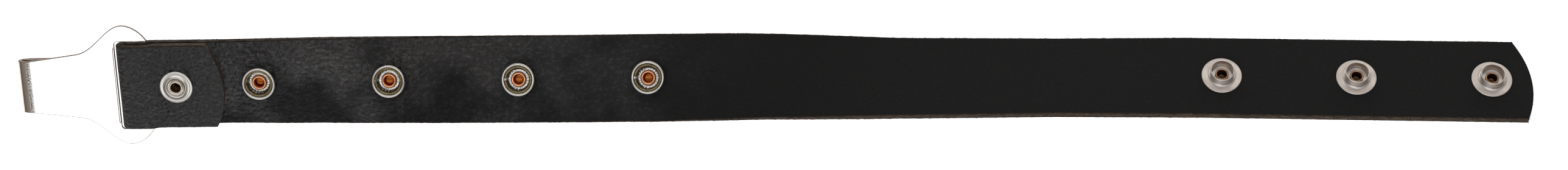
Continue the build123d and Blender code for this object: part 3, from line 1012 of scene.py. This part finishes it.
def stud_outline():
    """Wide satin flange and a tube with a beaded, open head."""
    top = BASE + STUD_HEIGHT
    return (
        [(2.25, BASE), (7.3, BASE), (7.5, BASE + 0.12), (7.5, BASE + 0.40), (7.42, BASE + 0.52),
         (7.25, BASE + 0.60), (6.9, BASE + 0.60), (6.3, BASE + 0.55), (5.6, BASE + 0.58),
         (5.0, BASE + 0.70), (4.6, BASE + 1.0), (4.36, BASE + 1.5), (4.3, BASE + 2.0),
         (4.3, top - 1.15)]
        + arc(4.18, top - 0.72, 0.40, -60, 60, 8)
        + arc(4.28, top - 0.24, 0.24, 40, 150, 8)
        + [(4.05, top - 0.35), (4.03, BASE + SHEET + 0.5)]
        + arc(3.68, BASE + SHEET + 0.35, 0.35, 0, -90, 4)
        + [(2.25, BASE + SHEET)]
    )


def fasten(obj, place, body, node):
    local_rest(obj, place)
    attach(obj, body)
    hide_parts(node)


def snap_part(name, place, outline, material, body, node, ripple=None):
    fasten(lathe(name, place, outline, material, ripple), place, body, node)


def spring_ring(name, place, body, node):
    """Round wire bent into a ring, with a gap where its ends meet."""
    high = BASE + SPRING_HEIGHT
    sections, sides = 120, 12
    points = []
    for i in range(sections + 1):
        a = math.pi + SPRING_SPLIT / 2 + (2 * math.pi - SPRING_SPLIT) * i / sections
        end = min(i, sections - i) / 2.0
        thick = SPRING_WIRE * (0.72 + 0.28 * min(1.0, end))
        for k in range(sides):
            b = 2 * math.pi * k / sides
            r = SPRING_RADIUS + thick * math.cos(b)
            points.append(place.at(r * math.cos(a), r * math.sin(a), high + thick * math.sin(b)))
    obj = new_object(name, points, tube_faces(sections, sides), [WIRE])
    recalc(obj)
    fasten(obj, place, body, node)


SOCKET_BODIES = ["hook_end", "hook_end", "strap_third_socket", "strap_middle"]
for n, (place, body) in enumerate(zip(socket_places, SOCKET_BODIES), start=1):
    snap_part(f"snap_socket_{n}", place, socket_outline(), SNAP_NICKEL, body,
              f"socket_{n}_shell", stamped)
    spring_ring(f"snap_spring_{n}", place, body, f"socket_{n}_spring")
    snap_part(f"snap_post_{n}", place,
              barrel_outline(POST_BORE, POST_RADIUS, POST_FLARE, BASE + SHEET, BASE + POST_HEIGHT),
              COPPER_POST, body, f"socket_{n}_post")
    snap_part(f"socket_back_{n}", place, cap_outline(), CAP_NICKEL, body,
              f"socket_{n}_cap")
for n, place in enumerate(stud_places, start=1):
    snap_part(f"snap_stud_{n}", place, stud_outline(), STUD_NICKEL, "tail",
              f"stud_{n}_shell")
    snap_part(f"stud_rivet_{n}", place,
              barrel_outline(POST_BORE, POST_RADIUS, EYELET_FLARE, BASE + SHEET,
                             BASE + SHEET + EYELET_HEIGHT),
              COPPER_EYELET, "tail", f"stud_{n}_eyelet")
    snap_part(f"stud_back_{n}", place, cap_outline(), CAP_NICKEL, "tail",
              f"stud_{n}_cap")

# Washer and rivet through the loop
WASHER_FACE = FRONT_LOW + FACE


def washer_outline():
    z = WASHER_FACE
    return (
        [(2.45, z), (6.3, z)]
        + arc(6.1, z + 0.28, 0.28, -60, 80, 6)
        + [(5.7, z + 0.60), (5.5, z + 0.60), (5.3, z + 0.50), (5.1, z + 0.50), (4.7, z + 0.62),
           (4.35, z + 0.72)]
        + arc(3.8, z + 0.62, 0.34, 40, 150, 7)
        + [(3.35, z + 0.62), (3.15, z + 0.50), (2.9, z + 0.46), (2.45, z + 0.45)]
    )


def rivet_outline():
    z = WASHER_FACE
    roll = 0.42
    return (
        [(0, FOOT), (2.43, FOOT), (2.43, z + 0.5), (2.7, z + 0.62)]
        + arc(2.31, z + 1.3 - roll, roll, -25, 180, 12)
        + [(1.83, z + 0.4), (1.80, FOOT + 1.0)]
        + [(1.8 * math.cos(a), FOOT + 1.0 - 0.5 * math.sin(a))
           for a in np.linspace(0.3, math.pi / 2, 5)]
    )


snap_part("loop_washer_ring", head_place, washer_outline(), SNAP_NICKEL,
          "hook_end", "loop_washer")
snap_part("loop_rivet_tube", head_place, rivet_outline(), BRASS_TUBE,
          "hook_end", "loop_rivet")
snap_part("loop_back", head_place, cap_outline(), CAP_NICKEL,
          "hook_end", "loop_rivet_cap")

# ---- Hook ----

PLATE = 1.2
EDGE_ROUND = 0.32
LEG_END = 24.0           # where the return leg stops, from the bar's centre line
TIP_CORNER = 2.4         # radius of the return leg's corners
SLOT_CORNER = 1.2
SHOULDER_END = (0.5, -0.9)
BEND_INNER = 1.2
BEND_RADIUS = BEND_INNER + PLATE / 2
BEND_WIDE = 3.9          # the bend's reach along the hook; it is flatter than a half circle
BEND_X = BEND_WIDE + PLATE / 2 - HOOK_REACH
BEND_TURN = np.linspace(0.0, math.pi, 181)
bend_path = np.column_stack([
    -BEND_WIDE * np.sin(BEND_TURN), BEND_RADIUS * np.cos(BEND_TURN) - BEND_RADIUS
])
bend_run = np.concatenate([[0.0], np.cumsum(np.linalg.norm(np.diff(bend_path, axis=0), axis=1))])
BEND_LENGTH = bend_run[-1]
LEG_TIP = 2 * BEND_X - BEND_LENGTH + LEG_END
BAR_HALF = 3.7
SLOT_FAR = 8.7
SLOT_HALF = 17.7
TONGUE_HALF = 10.5
SHOULDER = [(-24.0, 12.9), (-15.6, 17.7), (-5.5, 24.2), (3.7, 18.0)]
bar_place = head_place.moved(head_u(BAR_X), 0, FACE + LOOP_GAP / 2)
hook_place = bar_place.drooped(HOOK_DROOP)


def clamped_spline(knots, first, last, steps):
    """Smooth curve through the knots with the given end directions."""
    p = np.array(knots)
    h = np.linalg.norm(np.diff(p, axis=0), axis=1)
    n = len(p)
    system, right = np.zeros((n, n)), np.zeros((n, 2))
    system[0, 0] = system[-1, -1] = 1
    right[0], right[-1] = unit(np.array(first)), unit(np.array(last))
    for i in range(1, n - 1):
        system[i, i - 1:i + 2] = h[i], 2 * (h[i - 1] + h[i]), h[i - 1]
        right[i] = 3 * (h[i] / h[i - 1] * (p[i] - p[i - 1]) + h[i - 1] / h[i] * (p[i + 1] - p[i]))
    slopes = np.linalg.solve(system, right)
    curve = []
    for i in range(n - 1):
        for t in np.linspace(0, 1, steps, endpoint=False):
            curve.append(
                (2 * t**3 - 3 * t**2 + 1) * p[i] + (t**3 - 2 * t**2 + t) * h[i] * slopes[i]
                + (3 * t**2 - 2 * t**3) * p[i + 1] + (t**3 - t**2) * h[i] * slopes[i + 1]
            )
    return [tuple(c) for c in curve] + [knots[-1]]


def rounded_slot(x0, x1, half, radius):
    corners = ((x1, half, 0), (x0, half, 90), (x0, -half, 180), (x1, -half, 270))
    points = []
    for x, y, a in corners:
        cx = x - math.copysign(radius, x - (x0 + x1) / 2)
        cy = y - math.copysign(radius, y)
        points += arc(cx, cy, radius, a, a + 90, 7)
    return points


def hook_mesh():
    """Outline filled and rounded flat, then its tongue bent round and back."""
    tip = TIP_CORNER
    upper = (
        arc(LEG_TIP + tip, TONGUE_HALF - tip, tip, 180, 90, 7)
        + [(BEND_X - BEND_LENGTH, TONGUE_HALF), (BEND_X, TONGUE_HALF)]
        + clamped_spline(SHOULDER, (SHOULDER[0][0] - BEND_X, SHOULDER[0][1] - TONGUE_HALF),
                         SHOULDER_END, 16)
    )
    outline = upper + [(x, -y) for x, y in reversed(upper)]
    curve = bpy.data.curves.new("hook_outline", "CURVE")
    curve.dimensions, curve.fill_mode = "2D", "BOTH"
    curve.extrude = PLATE / 2 - EDGE_ROUND
    curve.bevel_depth, curve.bevel_resolution, curve.offset = EDGE_ROUND, 5, -EDGE_ROUND
    for loop in (outline, rounded_slot(-SLOT_FAR, -BAR_HALF, SLOT_HALF, SLOT_CORNER)):
        spline = curve.splines.new("POLY")
        spline.points.add(len(loop) - 1)
        spline.points.foreach_set("co", [c for x, y in loop for c in (x, y, 0.0, 1.0)])
        spline.use_cyclic_u = True
    flat = bpy.data.objects.new("hook_outline", curve)
    to_scene(flat)
    bpy.context.view_layer.update()
    mesh = bpy.data.meshes.new_from_object(flat)
    bpy.data.objects.remove(flat)
    bm = bmesh.new()
    bm.from_mesh(mesh)
    bmesh.ops.remove_doubles(bm, verts=bm.verts, dist=0.001)
    for x in np.concatenate([
        np.linspace(BEND_X - BEND_LENGTH, BEND_X, 41), np.linspace(LEG_TIP + 3.0, BEND_X - 8.0, 5),
        np.linspace(BEND_X + 3.0, -12.0, 9),
    ]):
        bmesh.ops.bisect_plane(bm, geom=bm.verts[:] + bm.edges[:] + bm.faces[:],
                               plane_co=(x, 0, 0), plane_no=(1, 0, 0), dist=0.0005)
    bmesh.ops.recalc_face_normals(bm, faces=bm.faces)
    rest = []
    for v in bm.verts:
        x, y, z = v.co
        rest.append((x, y, z))
        past = BEND_X - x
        if past > BEND_LENGTH:
            v.co = (BEND_X + past - BEND_LENGTH, y, -2 * BEND_RADIUS - z)
        elif past > 0:
            turn = np.interp(past, bend_run, BEND_TURN)
            out = unit(np.array([-math.sin(turn) / BEND_WIDE, math.cos(turn) / BEND_RADIUS])) * z
            v.co = (BEND_X - BEND_WIDE * math.sin(turn) + out[0], y,
                    BEND_RADIUS * (math.cos(turn) - 1) + out[1])
    bm.to_mesh(mesh)
    bm.free()
    return mesh, rest


def to_place(mesh, place):
    """Move a mesh made in millimetres in a local frame to that frame's place, in metres."""
    points = np.array([v.co for v in mesh.vertices])
    axes = np.column_stack([place.x, place.y, place.z])
    mesh.vertices.foreach_set("co", ((points @ axes.T + place.origin) * MM).ravel())


mesh, rest = hook_mesh()
to_place(mesh, hook_place)
mesh.materials.clear()
mesh.materials.append(HOOK_NICKEL)
mesh.polygons.foreach_set("material_index", np.zeros(len(mesh.polygons), np.int32))
mesh.polygons.foreach_set("use_smooth", np.ones(len(mesh.polygons), bool))
mesh.update()
hook = bpy.data.objects.new("hook_bent_plate", mesh)
to_scene(hook)
set_rest(hook, rest)
weighted = hook.modifiers.new("even_normals", "WEIGHTED_NORMAL")
weighted.weight = 80
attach(hook, "hook")
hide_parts("hook_plate")


LIP_SHORT = 1.8          # how much sooner than the slot the lip ends, at each end
LIP_TAPER = 1.2          # length of its rounded ends
LIP_WIDE, LIP_HIGH = 0.55, 0.52
LIP_OUT, LIP_UP = 0.45, 0.32


def slot_lip():
    """Round bead along the slot's far edge, half sunk in the plate."""
    sides, spans = 14, 60
    points = []
    length = SLOT_HALF - LIP_SHORT
    for i in range(spans + 1):
        y = -length + 2 * length * i / spans
        past = max(0.0, (abs(y) - length + LIP_TAPER) / LIP_TAPER)
        taper = math.sqrt(max(0.0, 1 - past**2)) * 0.97 + 0.03
        for k in range(sides):
            a = 2 * math.pi * k / sides
            points.append(hook_place.at(-SLOT_FAR - LIP_OUT + LIP_WIDE * taper * math.cos(a), y,
                                        LIP_UP + LIP_HIGH * taper * math.sin(a)))
    obj = new_object("hook_slot_lip", points, tube_faces(spans, sides), [LIP_NICKEL])
    recalc(obj)
    local_rest(obj, hook_place)
    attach(obj, "hook")


slot_lip()

# ---- Floor, light and camera ----


FLOOR_HALF = 20.0        # metres
FLOOR_DROP = 0.0002      # metres below the frame's zero, clear of the caps


def floor():
    mesh = bpy.data.meshes.new("floor")
    corners = [(-1, -1), (1, -1), (1, 1), (-1, 1)]
    mesh.from_pydata([(x * FLOOR_HALF, y * FLOOR_HALF, 0) for x, y in corners], [], [(0, 1, 2, 3)])
    obj = bpy.data.objects.new("floor", mesh)
    obj.location.z = -FLOOR_DROP
    to_scene(obj)
    n = Nodes("pale_floor")
    n.set(Base_Color=(0.8, 0.8, 0.8, 1.0), Roughness=0.9, Specular_IOR_Level=0.1,
          Emission_Color=(1.0, 1.0, 1.0, 1.0), Emission_Strength=0.9)
    mesh.materials.append(n.material)


def softbox(name, place, aim, size, brightness, colour=(1, 1, 1)):
    """Rectangular light whose face is as bright as white paper where brightness is 1."""
    light = bpy.data.lights.new(name, "AREA")
    light.shape, light.size, light.size_y = "RECTANGLE", *size
    light.energy, light.color = brightness * math.pi * size[0] * size[1], colour
    obj = bpy.data.objects.new(name, light)
    obj.location = place
    obj.rotation_euler = (Vector(aim) - Vector(place)).to_track_quat("-Z", "Y").to_euler()
    to_scene(obj)


def surroundings():
    """Studio dome: grey overhead, darker and warmer towards the horizon, for the metal."""
    world = bpy.data.worlds.new("studio")
    bpy.context.scene.world = world
    world.use_nodes = True
    nodes, links = world.node_tree.nodes, world.node_tree.links
    direction = nodes.new("ShaderNodeTexCoord")
    split = nodes.new("ShaderNodeSeparateXYZ")
    ramp = nodes.new("ShaderNodeValToRGB")
    links.new(direction.outputs["Generated"], split.inputs[0])
    links.new(split.outputs["Z"], ramp.inputs["Fac"])
    links.new(ramp.outputs["Color"], nodes["Background"].inputs["Color"])
    nodes["Background"].inputs["Strength"].default_value = 1.0
    stops = [(0.0, (0.10, 0.08, 0.062)), (0.3, (0.20, 0.175, 0.155)), (0.6, (0.30, 0.285, 0.275)),
             (0.95, (0.42, 0.41, 0.41))]
    fill_ramp(ramp.color_ramp.elements, stops)


# Metres: the middle of the picture, on the strap's face
CAMERA_TARGET = (0.00742, -0.00001, 0.0119)
CAMERA_DISTANCE = 1.1
CAMERA_YAW = math.radians(3.8)
CAMERA_LENS = 66.65


def camera():
    data = bpy.data.cameras.new("camera")
    data.lens, data.sensor_width, data.sensor_fit = CAMERA_LENS, 36.0, "HORIZONTAL"
    obj = bpy.data.objects.new("camera", data)
    x, y, z = CAMERA_TARGET
    obj.location = (x + CAMERA_DISTANCE * math.sin(CAMERA_YAW), y,
                    z + CAMERA_DISTANCE * math.cos(CAMERA_YAW))
    obj.rotation_euler = (0.0, CAMERA_YAW, 0.0)
    to_scene(obj)
    bpy.context.scene.camera = obj


floor()
surroundings()
softbox("overhead", (0.0, -0.1, 1.6), (0, 0, 0), (1.8, 0.5), 1.3)
softbox("hook_side", (-0.28, -0.70, 0.82), (-0.24, 0, 0.02), (0.9, 0.5), 1.04)
softbox("far_side", (0.2, 0.95, 0.58), (0.2, 0, 0.01), (1.5, 0.45), 0.8, (1.0, 0.95, 0.90))
camera()
bpy.context.scene.view_settings.view_transform = "Standard"
